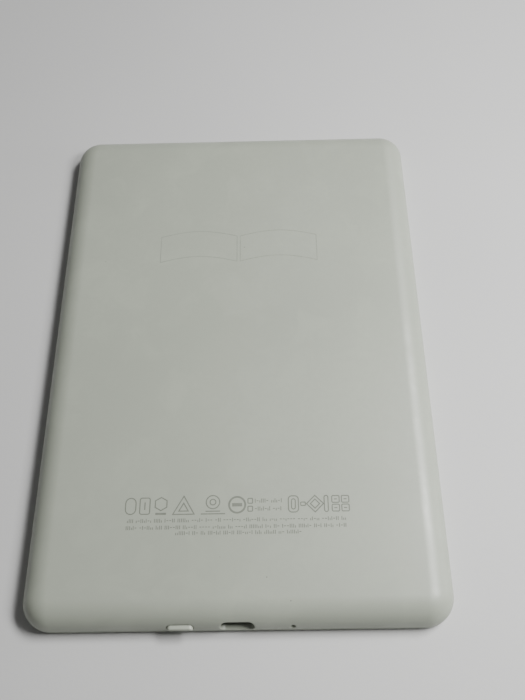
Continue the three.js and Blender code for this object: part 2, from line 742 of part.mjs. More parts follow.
function wifiAntenna() {
  const z = [FRAME_TOP + CONTACT_GAP, FRAME_TOP + CONTACT_GAP + FLEX.thickness];
  return join(block(ANTENNA_PATCH.x, ANTENNA_PATCH.y, z), block(ANTENNA_FEED.x, ANTENNA_FEED.y, z));
}

function antennaContact() {
  const { x, y, width, length } = ANTENNA_CONTACT;
  const under = FRAME_TOP + FLEX.thickness + 2 * CONTACT_GAP;
  return block(about(x, width / 2), about(y, length / 2), [under, BOARD.z - CONTACT_GAP]);
}

// ---------------------------------------------------------------- battery

const BATTERY_BOTTOM_Y = BATTERY.centreY - BATTERY.length / 2;
const PROTECTION = { x: [-23, 8], margin: 0.3, t: 0.58 };
const TAPE = { x: 14, width: 13, fromEnd: 2 };
const FOAM = { width: 44, length: 48, t: 0.4, gap: 0.03 };
const SOCKET = { x: -21.2, width: 5.4, y: [-39.6, -35.6], height: 1.2 };
const PLUG = { width: 4.6, y: [-37.6, -33.4], z: [BOARD_TOP + 0.25, BOARD_TOP + 0.95] };
const PLUG_CLEARANCE = { side: 0.15, end: 0.1 };
const LEAD = { radius: 0.32, apart: 1.1, aside: 1.6, dip: 0.1, straight: 1.5 };

function batteryCell() {
  const { width, length, corner } = shrunk(BATTERY, BATTERY.edge);
  const geometry = new THREE.ExtrudeGeometry(roundedRectangle(width, length, corner), {
    depth: BATTERY.t - 2 * BATTERY.edge,
    bevelThickness: BATTERY.edge,
    bevelSize: BATTERY.edge,
    bevelSegments: 3,
    curveSegments: 3,
  });
  geometry.translate(0, BATTERY.centreY, BATTERY.z + BATTERY.edge);
  const terrace = block(
    about(0, TERRACE.half),
    [BATTERY_BOTTOM_Y - TERRACE.length, BATTERY_BOTTOM_Y + BATTERY.edge + 2 * OVERLAP],
    [TERRACE.top - TERRACE.t, TERRACE.top],
  );
  return join(solid(geometry), terrace);
}

function protectionBoard() {
  const under = TERRACE.top + CONTACT_GAP;
  return block(
    PROTECTION.x,
    [BATTERY_BOTTOM_Y - TERRACE.length + PROTECTION.margin, BATTERY_BOTTOM_Y - PROTECTION.margin],
    [under, under + PROTECTION.t],
  );
}

function batteryTape(x) {
  const y = about(BATTERY.centreY, BATTERY.length / 2 - TAPE.fromEnd);
  return block(about(x, TAPE.width / 2), y, [FRAME_TOP + CONTACT_GAP / 2, BATTERY.z - CONTACT_GAP]);
}

function batteryFoam() {
  const under = topOf(BATTERY) + FOAM.gap;
  return block(about(0, FOAM.width / 2), about(BATTERY.centreY, FOAM.length / 2), [under, under + FOAM.t]);
}

function batterySocket() {
  const body = block(about(SOCKET.x, SOCKET.width / 2), SOCKET.y, [ON_BOARD, BOARD_TOP + SOCKET.height]);
  const room = block(
    about(SOCKET.x, PLUG.width / 2 + PLUG_CLEARANCE.side),
    [PLUG.y[0] - PLUG_CLEARANCE.end, PLUG.y[1]],
    [PLUG.z[0] - PLUG_CLEARANCE.end, BOARD_TOP + SOCKET.height + BEYOND],
  );
  return cut(body, room);
}

const batteryPlug = () => block(about(SOCKET.x, PLUG.width / 2), PLUG.y, PLUG.z);

// One insulated lead from the plug to the protection board, on one side of the plug's middle.
function batteryLead(side) {
  const x = SOCKET.x + side * LEAD.apart;
  const boardX = x + LEAD.aside;
  const z = (PLUG.z[0] + PLUG.z[1]) / 2;
  const startY = PLUG.y[1] + 1.5 * CONTACT_GAP;
  const endY = BATTERY_BOTTOM_Y - TERRACE.length + OVERLAP;
  const route = new THREE.CatmullRomCurve3([
    new THREE.Vector3(x, startY, z),
    new THREE.Vector3(x, startY + LEAD.straight, z),
    new THREE.Vector3((x + boardX) / 2, (startY + endY) / 2, z - LEAD.dip),
    new THREE.Vector3(boardX, endY - LEAD.straight, z - LEAD.dip),
    new THREE.Vector3(boardX, endY, z - LEAD.dip),
  ]);
  const section = new THREE.Shape();
  section.absarc(0, 0, LEAD.radius, 0, 2 * Math.PI);
  return solid(new THREE.ExtrudeGeometry(section, { steps: 12, extrudePath: route, curveSegments: 4 }));
}

// ---------------------------------------------------------------- fasteners

// A pan-head screw with its head's seat at z 0 and its shank downwards.
function screw(length) {
  const { shank, head, headHeight, recess, recessHalf } = SCREW;
  const profile = [
    [0, -length],
    [shank, -length],
    [shank, 0],
    [head, 0],
    [head, headHeight * 0.6],
    [head * 0.75, headHeight],
    [0, headHeight],
  ].map(([r, y]) => new THREE.Vector2(r, y));
  const geometry = new THREE.LatheGeometry(profile, 10);
  geometry.rotateX(Math.PI / 2);
  const depth = [headHeight - recess, headHeight + BEYOND];
  const [long, narrow] = [about(0, recessHalf), about(0, recess / 2)];
  return geometryOf(cut(solid(geometry), block(long, narrow, depth), block(narrow, long, depth)));
}

// ---------------------------------------------------------------- assembly

add("rear_cover", rearCover(), MATERIAL.cover);
add("front_bezel", frontBezel(), MATERIAL.bezel);

const display = subassembly();
add("display_gasket", displayGasket(), MATERIAL.gasket, display);
add("cover_film", displayLayer(LAYER.film), MATERIAL.film, display);
add("touch_sensor", displayLayer(LAYER.touch), MATERIAL.film, display);
add("light_guide", lightGuide(), MATERIAL.guide, display);
add("epaper_film", displayLayer(LAYER.paper), MATERIAL.paper, display);
add("display_backplane", displayLayer(LAYER.backplane), MATERIAL.glass, display);
const chipTop = LAYER.backplane.z - CONTACT_GAP / 2;
const driverChip = block(about(0, DRIVER_CHIP.half), DRIVER_CHIP.y, [chipTop - DRIVER_CHIP.t, chipTop]);
add("display_driver_chip", driverChip, MATERIAL.chip, display);
FRONTLIGHT.x.forEach((x, i) => {
  const geometry = new THREE.BoxGeometry(FRONTLIGHT.width, FRONTLIGHT.depth, LAYER.guide.t);
  const z = LAYER.guide.z + LAYER.guide.t / 2 + CONTACT_GAP;
  add(`frontlight_led_${i + 1}`, geometry, MATERIAL.led, display, [x, FRONTLIGHT.y, z]);
});
add("frontlight_flex", frontlightFlex(), MATERIAL.flex, display);
add("display_flex", displayFlex(), MATERIAL.flex, display);
add("touch_flex", touchFlex(), MATERIAL.flex, display);

add("mid_frame", midFrame(), MATERIAL.frame);

const electronics = subassembly();
add("mainboard", mainboard(), MATERIAL.board, electronics);
for (const [name, place] of Object.entries(SHIELDS)) {
  add(name, shieldCan(place), MATERIAL.steel, electronics);
}
for (const [name, size] of Object.entries(CHIPS)) {
  add(name, chip(size), MATERIAL.chip, electronics);
}
add("display_connector", flexConnector(CONNECTOR.display), MATERIAL.connector, electronics);
add("touch_connector", flexConnector(CONNECTOR.touch), MATERIAL.connector, electronics);
add("frontlight_connector", flexConnector(CONNECTOR.frontlight), MATERIAL.connector, electronics);
add("usb_c_shell", usbShell(), MATERIAL.steel, electronics);
add("usb_c_tongue", usbTongue(), MATERIAL.blackConnector, electronics);
const chargeLed = new THREE.BoxGeometry(CHARGE_LED.width, CHARGE_LED.length, CHARGE_LED.height);
const ledSeat = [LED.x, CHARGE_LED.y, BOARD.z - CHARGE_LED.sunk];
add("charge_led", chargeLed, MATERIAL.led, electronics, ledSeat);
add("led_light_pipe", lightPipe(), MATERIAL.lightPipe);
add("wifi_antenna", wifiAntenna(), MATERIAL.flex, electronics);
add("antenna_contact", antennaContact(), MATERIAL.gold, electronics);

const power = subassembly();
add("battery_cell", batteryCell(), MATERIAL.pouch, power);
add("battery_protection_board", protectionBoard(), MATERIAL.board, power);
add("battery_tape_left", batteryTape(-TAPE.x), MATERIAL.tape, power);
add("battery_tape_right", batteryTape(TAPE.x), MATERIAL.tape, power);
add("battery_foam", batteryFoam(), MATERIAL.foam, power);
add("battery_socket", batterySocket(), MATERIAL.connector, power);
add("battery_plug", batteryPlug(), MATERIAL.blackConnector, power);
add("battery_lead_red", batteryLead(-1), MATERIAL.redLead, power);
add("battery_lead_black", batteryLead(1), MATERIAL.blackLead, power);

const button = subassembly();
button.position.set(BUTTON.x, 0, PORT_Z);
add("power_button", powerButton(), MATERIAL.button, button);
add("switch_body", switchBody(), MATERIAL.blackConnector, button);
add("switch_plunger", switchPlunger(), MATERIAL.connector, button);
add("switch_dome", switchDome(), MATERIAL.steel, button);

const frameScrew = screw(SCREW.frameLength);
FRAME_SCREWS.forEach(([x, y], i) => {
  add(`frame_screw_${i + 1}`, frameScrew, MATERIAL.screw, eReader, [x, y, FRAME_TOP + CONTACT_GAP / 2]);
});
const boardScrew = screw(SCREW.boardLength);
BOARD_SCREWS.forEach(([x, y], i) => {
  add(`board_screw_${i + 1}`, boardScrew, MATERIAL.screw, eReader, [x, y, BOARD_TOP + CONTACT_GAP / 2]);
});

export default eReader;
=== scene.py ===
"""The looks of a 6-inch e-reader that lies on its screen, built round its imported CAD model.

Shapes are made in millimetres and turned into metres when a mesh is made. X runs along the bottom
edge, Y from the bottom edge to the top edge, and Z from the screen side to the back.
"""
import itertools
import json
import math
import random

import bmesh
import bpy
from mathutils import Matrix, Vector


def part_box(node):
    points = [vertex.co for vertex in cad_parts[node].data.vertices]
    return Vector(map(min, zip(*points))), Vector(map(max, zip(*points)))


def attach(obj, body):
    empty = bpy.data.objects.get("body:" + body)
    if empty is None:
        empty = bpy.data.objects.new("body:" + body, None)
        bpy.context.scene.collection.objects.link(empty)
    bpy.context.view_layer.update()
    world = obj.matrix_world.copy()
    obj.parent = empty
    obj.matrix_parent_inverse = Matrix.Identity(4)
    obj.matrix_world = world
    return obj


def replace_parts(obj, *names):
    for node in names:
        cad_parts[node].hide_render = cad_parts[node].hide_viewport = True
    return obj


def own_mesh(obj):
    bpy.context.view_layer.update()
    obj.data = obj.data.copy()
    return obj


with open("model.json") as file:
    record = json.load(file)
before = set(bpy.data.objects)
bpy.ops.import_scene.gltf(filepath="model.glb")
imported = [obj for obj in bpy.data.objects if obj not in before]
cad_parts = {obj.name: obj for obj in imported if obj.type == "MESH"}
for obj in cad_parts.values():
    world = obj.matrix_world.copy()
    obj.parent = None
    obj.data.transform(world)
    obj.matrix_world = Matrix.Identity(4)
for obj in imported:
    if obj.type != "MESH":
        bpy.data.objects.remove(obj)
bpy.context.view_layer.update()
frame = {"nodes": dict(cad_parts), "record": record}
MM = 0.001

# ------------------------------------------------------------------ sizes, in millimetres


def box_mm(node):
    """Low and high corner of a CAD node's box."""
    low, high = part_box(node)
    return low / MM, high / MM


COVER_LOW, COVER_HIGH = box_mm("rear_cover")
BEZEL_TOP = box_mm("front_bezel")[1].z
BUTTON_LOW, BUTTON_HIGH = box_mm("power_button")
SHELL_LOW, SHELL_HIGH = box_mm("usb_c_shell")
TONGUE_LOW, TONGUE_HIGH = box_mm("usb_c_tongue")
PIPE_LOW, PIPE_HIGH = box_mm("led_light_pipe")

WIDTH = COVER_HIGH.x - COVER_LOW.x
LENGTH = COVER_HIGH.y - COVER_LOW.y
CORNER = 7.5
INK = 0.015  # thickness of the printed marks, which lie on the back
BACK_Z = COVER_HIGH.z - INK
CURVE_START = 2.1  # the cover's sides are upright up to here
CURVE_INSET = 7.0
CURVE_RISE = BACK_Z - CURVE_START
WALL = 1.2
ROOF_Z = COVER_HIGH.z - 1.1
CAVITY_START = 1.9
CAVITY_INSET = 5.8
SEAM_Z = 1.6  # top of the bezel's rim
SEAM_ROUND = 0.12
FRONT_ROUND = 0.5

EDGE_Z = (BUTTON_LOW.z + BUTTON_HIGH.z) / 2  # centre height of everything on the bottom edge
BUTTON_X = (BUTTON_LOW.x + BUTTON_HIGH.x) / 2
PIPE_X = (PIPE_LOW.x + PIPE_HIGH.x) / 2
BUTTON_SIZE = (6.46, 1.9)
BUTTON_GAP = 0.15
MOUTH_ROUND = 0.16  # rounding of the edge of each opening
OPENINGS = {
    "port": (0.0, 8.6, 3.2),
    "button": (BUTTON_X, BUTTON_SIZE[0] + 2 * BUTTON_GAP, BUTTON_SIZE[1] + 2 * BUTTON_GAP),
    "indicator": (PIPE_X, 1.3, 1.3),
}
WINDOW = (91.4, 123.2, 6.4, 1.0)  # width, length, centre along Y, corner radius

CORNER_STEPS = 20  # mesh steps round each corner of the outline
SIDE_STEPS = 16  # and along its left, top and right sides

# ------------------------------------------------------------------ camera

CAMERA_PLACE = (10.20, -106.49, 203.69)
CAMERA_RIGHT = (0.99973, -0.00946, -0.02128)
CAMERA_UP = (0.01827, 0.88521, 0.46483)
CAMERA_LENS = 39.65


def add_camera():
    """Looks down at the back from in front of the bottom edge."""
    place = Vector(CAMERA_PLACE) * MM
    right = Vector(CAMERA_RIGHT).normalized()
    up = Vector(CAMERA_UP)
    up = (up - right * up.dot(right)).normalized()
    turn = Matrix((right, up, right.cross(up))).transposed()
    data = bpy.data.cameras.new("camera")
    data.lens = CAMERA_LENS
    data.clip_start = 0.01
    camera = bpy.data.objects.new("camera", data)
    camera.matrix_world = Matrix.Translation(place) @ turn.to_4x4()
    bpy.context.scene.collection.objects.link(camera)
    bpy.context.scene.camera = camera


add_camera()

# ------------------------------------------------------------------ materials


class Look:
    """A node material being built. Each method adds nodes and returns an output."""

    def __init__(self, name, colour, roughness=0.5, metallic=0.0, **sockets):
        self.material = bpy.data.materials.new(name)
        self.material.use_nodes = True
        self.tree = self.material.node_tree
        self.shader = self.tree.nodes["Principled BSDF"]
        self.place = self.node("ShaderNodeTexCoord").outputs["Object"]
        self.normal = None
        self.shader.inputs["Base Color"].default_value = (*colour, 1)
        self.shader.inputs["Roughness"].default_value = roughness
        self.shader.inputs["Metallic"].default_value = metallic
        for socket, value in sockets.items():
            self.shader.inputs[socket.replace("_", " ")].default_value = value

    def node(self, kind, **settings):
        made = self.tree.nodes.new(kind)
        for key, value in settings.items():
            setattr(made, key, value)
        return made

    def feed(self, socket, value):
        if isinstance(value, bpy.types.NodeSocket):
            self.tree.links.new(value, socket)
        elif isinstance(value, tuple) and len(value) == 3 and socket.type == "RGBA":
            socket.default_value = (*value, 1)
        else:
            socket.default_value = value

    def stretched(self, stretch):
        mapping = self.node("ShaderNodeMapping")
        self.feed(mapping.inputs["Vector"], self.place)
        mapping.inputs["Scale"].default_value = stretch
        return mapping.outputs["Vector"]

    def noise(self, size, detail=2.0, stretch=(1, 1, 1), distortion=0.0):
        made = self.node("ShaderNodeTexNoise")
        self.feed(made.inputs["Vector"], self.stretched(stretch))
        made.inputs["Scale"].default_value = 1 / (size * MM)
        made.inputs["Detail"].default_value = detail
        made.inputs["Distortion"].default_value = distortion
        return made.outputs["Fac"]

    def spots(self, cell, radius, share, stretch=(1, 1, 1)):
        """Round spots, one in some of the cells."""
        made = self.node("ShaderNodeTexVoronoi")
        self.feed(made.inputs["Vector"], self.stretched(stretch))
        made.inputs["Scale"].default_value = 1 / (cell * MM)
        parts = self.node("ShaderNodeSeparateColor")
        self.feed(parts.inputs["Color"], made.outputs["Color"])
        near = self.remap(made.outputs["Distance"], radius / cell, 0.6 * radius / cell, 0, 1)
        chosen = self.maths("LESS_THAN", parts.outputs["Red"], share)
        return self.maths("MULTIPLY", near, chosen)

    def bands(self, size, axis):
        """Straight stripes that repeat along the axis every so many millimetres."""
        made = self.node("ShaderNodeTexWave", bands_direction=axis)
        self.feed(made.inputs["Vector"], self.place)
        made.inputs["Scale"].default_value = 0.314 / (size * MM)
        return made.outputs["Fac"]

    def height(self):
        """The point's height, in metres."""
        parts = self.node("ShaderNodeSeparateXYZ")
        self.feed(parts.inputs["Vector"], self.place)
        return parts.outputs["Z"]

    def remap(self, value, low, high, to_low, to_high):
        """Stretches the range from low to high over the second range, and stops at its ends."""
        made = self.node("ShaderNodeMapRange")
        self.feed(made.inputs["Value"], value)
        self.feed(made.inputs["From Min"], low)
        self.feed(made.inputs["From Max"], high)
        self.feed(made.inputs["To Min"], to_low)
        self.feed(made.inputs["To Max"], to_high)
        return made.outputs["Result"]

    def maths(self, operation, a, b):
        made = self.node("ShaderNodeMath", operation=operation)
        self.feed(made.inputs[0], a)
        self.feed(made.inputs[1], b)
        return made.outputs[0]

    def mix(self, factor, a, b):
        """Colour a where the factor is 0 and colour b where it is 1."""
        made = self.node("ShaderNodeMix", data_type="RGBA")
        sockets = [s for s in made.inputs if s.enabled]
        for socket, value in zip(sockets, (factor, a, b)):
            self.feed(socket, value)
        return next(s for s in made.outputs if s.enabled)

    def bump(self, height, depth, strength=1.0):
        """Relief of that depth in millimetres, on top of any before it."""
        made = self.node("ShaderNodeBump")
        made.inputs["Distance"].default_value = depth * MM
        made.inputs["Strength"].default_value = strength
        self.feed(made.inputs["Height"], height)
        if self.normal is not None:
            self.feed(made.inputs["Normal"], self.normal)
        self.normal = made.outputs["Normal"]

    def finish(self, colour=None, roughness=None):
        if colour is not None:
            self.feed(self.shader.inputs["Base Color"], colour)
        if roughness is not None:
            self.feed(self.shader.inputs["Roughness"], roughness)
        if self.normal is not None:
            self.feed(self.shader.inputs["Normal"], self.normal)
        return self.material


def shade(colour, factor):
    """A colour made darker or lighter by that factor."""
    return tuple(min(1.0, part * factor) for part in colour)


def case_plastic(name, colour, roughness, low_side_darkening=0.45):
    """Satin-matt moulded plastic with a fine grain, a few specks of dirt, and patches that are darker and
    a little glossier low on its sides, towards the floor.
    """
    look = Look(name, colour, roughness, Specular_IOR_Level=0.7)
    drift = look.noise(45, detail=3)
    haze = look.noise(11, detail=4, distortion=0.6)
    mottle = look.noise(1.6, detail=3)
    grain = look.noise(0.2, detail=1)
    base = look.mix(look.remap(drift, 0.35, 0.65, 0, 1), shade(colour, 0.95), shade(colour, 1.045))
    base = look.mix(look.remap(mottle, 0.3, 0.7, 0, 0.5), base, shade(colour, 0.94))
    base = look.mix(look.remap(grain, 0.35, 0.7, 0, 0.4), base, shade(colour, 0.9))
    base = look.mix(look.remap(haze, 0.5, 0.7, 0, 0.45), base, shade(colour, 1.1))
    # Darker, glossier patches low on the sides, fading out 3.2 mm above the floor.
    rim = look.remap(look.height(), 3.2 * MM, 1.2 * MM, 0, low_side_darkening)
    low_side_patches = look.maths("MULTIPLY", rim, look.remap(look.noise(3.5, detail=4), 0.4, 0.65, 0, 1))
    base = look.mix(low_side_patches, base, shade(colour, 0.78))
    dusty = look.remap(look.noise(38, detail=1), 0.48, 0.6, 0, 0.85)
    dirt = look.maths("MULTIPLY", look.spots(cell=6, radius=0.2, share=0.4), dusty)
    base = look.mix(dirt, base, (0.09, 0.085, 0.07))
    pale = look.spots(cell=11, radius=0.28, share=0.2, stretch=(1, 0.6, 1))
    base = look.mix(look.maths("MULTIPLY", pale, 0.5), base, shade(colour, 1.4))
    rough = look.remap(haze, 0.35, 0.75, roughness + 0.05, roughness - 0.06)
    rough = look.maths("SUBTRACT", rough, look.maths("MULTIPLY", low_side_patches, 0.2))
    look.bump(grain, 0.012)
    look.bump(mottle, 0.012, 0.5)
    return look.finish(base, rough)


def plain_plastic(name, colour, roughness, grain=0.1, depth=0.006):
    """Moulded plastic of small inner parts: fine grain, flow marks and slightly worn tone."""
    look = Look(name, colour, roughness)
    flow = look.noise(2.5, detail=3, stretch=(1, 0.35, 1))
    fine = look.noise(grain, detail=2)
    base = look.mix(look.remap(flow, 0.35, 0.65, 0, 1), shade(colour, 0.86), shade(colour, 1.12))
    base = look.mix(look.remap(fine, 0.45, 0.7, 0, 0.4), base, shade(colour, 0.8))
    look.bump(fine, depth)
    return look.finish(base, look.remap(flow, 0.3, 0.7, roughness - 0.08, roughness + 0.1))


def sheet_metal(name, colour, roughness, size=1.2, depth=0.004):
    """Rolled or plated metal with fine streaks along X and stains."""
    look = Look(name, colour, roughness, metallic=1.0)
    streaks = look.noise(size, detail=4, stretch=(0.06, 1, 1))
    stain = look.noise(6, detail=4, distortion=0.8)
    base = look.mix(look.remap(stain, 0.35, 0.7, 0, 1), shade(colour, 1.08), shade(colour, 0.8))
    rough = look.remap(streaks, 0.3, 0.7, roughness - 0.08, roughness + 0.12)
    look.bump(streaks, depth)
    return look.finish(base, rough)


def blasted_metal(name, colour, roughness):
    """Metal with the fine pits of bead blasting."""
    look = Look(name, colour, roughness, metallic=1.0)
    pits = look.noise(0.18, detail=3)
    cloud = look.noise(14, detail=3)
    base = look.mix(look.remap(cloud, 0.35, 0.65, 0, 1), shade(colour, 0.88), shade(colour, 1.08))
    look.bump(pits, 0.02)
    return look.finish(base, look.remap(pits, 0.3, 0.7, roughness - 0.07, roughness + 0.1))


def clear_sheet(name, colour, roughness, alpha, grain):
    """A clear layer of the display: a fine anti-glare grain and faint cloudiness."""
    look = Look(name, colour, roughness, Alpha=alpha, Specular_IOR_Level=0.35)
    sparkle = look.noise(grain, detail=1)
    cloud = look.noise(24, detail=3)
    base = look.mix(look.remap(cloud, 0.35, 0.65, 0, 1), shade(colour, 0.95), shade(colour, 1.03))
    look.bump(sparkle, 0.002, 0.6)
    return look.finish(base, look.remap(sparkle, 0.3, 0.7, roughness - 0.05, roughness + 0.08))


def ink_film(name, colour):
    """Electronic paper: a matt pale sheet with the fine speckle of its capsules."""
    look = Look(name, colour, 0.75)
    capsules = look.noise(0.09, detail=2)
    ghost = look.noise(17, detail=2)
    base = look.mix(look.remap(capsules, 0.35, 0.65, 0, 1), shade(colour, 0.93), shade(colour, 1.05))
    base = look.mix(look.remap(ghost, 0.4, 0.7, 0, 0.3), base, shade(colour, 0.93))
    look.bump(capsules, 0.003)
    return look.finish(base, look.remap(capsules, 0.3, 0.7, 0.68, 0.85))


def foam(name, colour):
    """Open-celled foam."""
    look = Look(name, colour, 0.95)
    cells = look.noise(0.25, detail=3)
    base = look.mix(look.remap(cells, 0.35, 0.65, 0, 1), shade(colour, 0.5), shade(colour, 1.6))
    look.bump(cells, 0.08)
    return look.finish(base, look.remap(cells, 0.3, 0.7, 0.85, 1.0))


def circuit_film(name):
    """Amber film with copper tracks that run along Y."""
    amber, copper = (0.36, 0.13, 0.02), (0.55, 0.24, 0.07)
    look = Look(name, amber, 0.35)
    tracks = look.remap(look.bands(0.5, "X"), 0.5, 0.62, 0, 1)
    cloud = look.noise(3, detail=3)
    base = look.mix(look.remap(cloud, 0.35, 0.65, 0, 1), shade(amber, 0.8), shade(amber, 1.2))
    base = look.mix(tracks, base, copper)
    look.bump(tracks, 0.012)
    return look.finish(base, look.remap(cloud, 0.3, 0.7, 0.28, 0.45))


def circuit_board(name):
    """Dark green solder mask over tracks in two directions, with bare gold pads."""
    mask, track, gold = (0.008, 0.055, 0.03), (0.02, 0.13, 0.065), (0.62, 0.42, 0.12)
    look = Look(name, mask, 0.35)
    along = look.remap(look.bands(0.9, "X"), 0.7, 0.76, 0, 1)
    across = look.remap(look.bands(0.9, "Y"), 0.7, 0.76, 0, 1)
    patch = look.remap(look.noise(7, detail=0), 0.49, 0.5, 0, 1)
    tracks = look.mix(patch, along, across)
    base = look.mix(tracks, mask, track)
    pads = look.spots(cell=1.7, radius=0.22, share=0.4)
    base = look.mix(pads, base, gold)
    weave = look.noise(0.35, detail=2)
    look.bump(tracks, 0.02)
    look.bump(weave, 0.004)
    return look.finish(base, look.remap(weave, 0.3, 0.7, 0.28, 0.42))


def pouch_foil(name):
    """Dull aluminium foil with soft creases."""
    colour = (0.46, 0.47, 0.49)
    look = Look(name, colour, 0.38, metallic=1.0)
    creases = look.noise(8, detail=5, distortion=1.2)
    fine = look.noise(0.5, detail=3)
    base = look.mix(look.remap(creases, 0.35, 0.65, 0, 1), shade(colour, 0.82), shade(colour, 1.1))
    look.bump(creases, 0.12, 0.6)
    look.bump(fine, 0.004)
    return look.finish(base, look.remap(fine, 0.3, 0.7, 0.3, 0.48))


def light_resin(name, colour, glow):
    """Clear or phosphor-filled resin that passes a little light."""
    look = Look(name, colour, 0.25, Subsurface_Weight=0.4, Subsurface_Scale=0.6 * MM, Coat_Weight=0.3)
    swirl = look.noise(0.7, detail=2)
    base = look.mix(look.remap(swirl, 0.35, 0.65, 0, 1), shade(colour, 0.9), glow)
    look.bump(swirl, 0.01)
    return look.finish(base, look.remap(swirl, 0.3, 0.7, 0.18, 0.35))


def printed_ink(name, colour):
    """Thin grey print, a little patchy where it has rubbed."""
    look = Look(name, colour, 0.6, Specular_IOR_Level=0.35)
    rub = look.noise(1.1, detail=4)
    drift = look.noise(14, detail=2)
    base = look.mix(look.remap(rub, 0.45, 0.75, 0, 0.6), colour, shade(colour, 1.35))
    base = look.mix(look.remap(drift, 0.4, 0.65, 0, 0.35), base, shade(colour, 1.25))
    look.bump(look.noise(0.2, detail=1), 0.01)
    return look.finish(base, look.remap(rub, 0.3, 0.7, 0.55, 0.68))


def pale_floor(name):
    """A matt pale surface with slight clouds."""
    look = Look(name, (0.62, 0.62, 0.61), 0.7)
    cloud = look.noise(160, detail=3)
    grain = look.noise(1.2, detail=3)
    base = look.mix(look.remap(cloud, 0.3, 0.7, 0, 1), (0.60, 0.60, 0.595), (0.645, 0.645, 0.635))
    look.bump(grain, 0.02)
    return look.finish(base, look.remap(grain, 0.3, 0.7, 0.6, 0.75))


SAGE = (0.397, 0.426, 0.354)
MATERIALS = {
    "cover_plastic": case_plastic("cover_plastic", SAGE, 0.42),
    "bezel_plastic": case_plastic("bezel_plastic", shade(SAGE, 0.97), 0.42, low_side_darkening=0.1),
    # The button's plastic is the case colour painted 8% lighter: painted light, so the button looks lit.
    "button_plastic": case_plastic("button_plastic", shade(SAGE, 1.08), 0.4),
    "gasket_foam": foam("gasket_foam", (0.03, 0.03, 0.034)),
    "clear_film": clear_sheet("clear_film", (0.62, 0.62, 0.60), 0.36, 0.16, 0.12),
    "light_guide_plastic": clear_sheet("light_guide_plastic", (0.80, 0.84, 0.85), 0.12, 0.1, 0.4),
    "epaper": ink_film("epaper", (0.60, 0.605, 0.575)),
    "backplane_glass": plain_plastic("backplane_glass", (0.14, 0.17, 0.165), 0.14, grain=0.6, depth=0.002),
    "chip_plastic": plain_plastic("chip_plastic", (0.014, 0.014, 0.015), 0.5),
    "led_plastic": light_resin("led_plastic", (0.82, 0.78, 0.5), (0.95, 0.9, 0.6)),
    "flex_circuit": circuit_film("flex_circuit"),
    "frame_metal": blasted_metal("frame_metal", (0.40, 0.41, 0.42), 0.48),
    "board_laminate": circuit_board("board_laminate"),
    "shield_steel": sheet_metal("shield_steel", (0.56, 0.56, 0.56), 0.3),
    "connector_plastic": plain_plastic("connector_plastic", (0.72, 0.66, 0.52), 0.5),
    "black_connector_plastic": plain_plastic("black_connector_plastic", (0.016, 0.016, 0.017), 0.48),
    "light_pipe_plastic": light_resin("light_pipe_plastic", (0.66, 0.70, 0.68), (0.8, 0.84, 0.82)),
    "contact_metal": sheet_metal("contact_metal", (0.72, 0.48, 0.16), 0.25, size=0.3, depth=0.001),
    "battery_pouch": pouch_foil("battery_pouch"),
    "adhesive_tape": plain_plastic("adhesive_tape", (0.74, 0.73, 0.68), 0.6, grain=0.3),
    "red_insulation": plain_plastic("red_insulation", (0.42, 0.015, 0.012), 0.4),
    "black_insulation": plain_plastic("black_insulation", (0.011, 0.011, 0.013), 0.4),
    "screw_steel": sheet_metal("screw_steel", (0.16, 0.165, 0.17), 0.38, size=0.3, depth=0.003),
}
INK_LOOK = printed_ink("printed_ink", shade(SAGE, 0.45))
FAINT_INK_LOOK = printed_ink("faint_ink", shade(SAGE, 0.74))

# ------------------------------------------------------------------ mesh helpers

SHARP_ANGLE = 35  # edges that turn by more degrees than this are shaded sharp


def make_piece(name, build, slot, body="body", material=None):
    """A named mesh that build(bm) fills in millimetres, smooth except at its sharp edges."""
    bm = bmesh.new()
    build(bm)
    bmesh.ops.recalc_face_normals(bm, faces=bm.faces)
    mesh = bpy.data.meshes.new(name)
    bm.to_mesh(mesh)
    bm.free()
    mesh.transform(Matrix.Scale(MM, 4))
    mesh.materials.append(material or MATERIALS[slot])
    mesh.shade_smooth()
    mesh.set_sharp_from_angle(angle=math.radians(SHARP_ANGLE))
    piece = bpy.data.objects.new(name, mesh)
    bpy.context.scene.collection.objects.link(piece)
    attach(piece, body)
    return piece


def join_rings(bm, a, b):
    """Skins the band between two rings of vertices that have the same number of points."""
    for i in range(len(a)):
        j = (i + 1) % len(a)
        bm.faces.new((a[i], a[j], b[j], b[i]))


def join_all(bm, rings, closed):
    """Skins each ring to the next, and then the last to the first or else both ends."""
    pairs = list(zip(rings, rings[1:]))
    if closed:
        pairs.append((rings[-1], rings[0]))
    else:
        bm.faces.new(rings[0])
        bm.faces.new(rings[-1])
    for low, high in pairs:
        join_rings(bm, low, high)


def loft(bm, loops, closed=False):
    """Skins loops of points. A closed loft joins its last loop to its first."""
    join_all(bm, [[bm.verts.new(point) for point in loop] for loop in loops], closed)


def stadium(width, height, y, x=0.0, steps=16):
    """A stadium in the XZ plane at depth y, as high up as everything on the bottom edge."""
    radius = height / 2
    half = (width - height) / 2
    loop = []
    for side, start in ((1, -90), (-1, 90)):
        for k in range(steps + 1):
            angle = math.radians(start + 180 * k / steps)
            loop.append((x + side * half + radius * math.cos(angle), y, EDGE_Z + radius * math.sin(angle)))
    return loop


def rounded_slot(width, height, corner, y):
    """A rectangle with rounded corners in the XZ plane at depth y, at that same height."""
    hx, hz = width / 2 - corner, height / 2 - corner
    steps = 6
    loop = []
    for cx, cz, start in ((hx, -hz, -90), (hx, hz, 0), (-hx, hz, 90), (-hx, -hz, 180)):
        for k in range(steps + 1):
            angle = math.radians(start + 90 * k / steps)
            loop.append((cx + corner * math.cos(angle), y, EDGE_Z + cz + corner * math.sin(angle)))
    return loop


def quarter(steps, radius):
    """Pairs (sideways, along) of a quarter round, from (radius, 0) to (0, radius)."""
    angles = [math.pi / 2 * k / steps for k in range(steps + 1)]
    return [(radius * (1 - math.sin(a)), radius * (1 - math.cos(a))) for a in angles]


# ------------------------------------------------------------------ rear cover

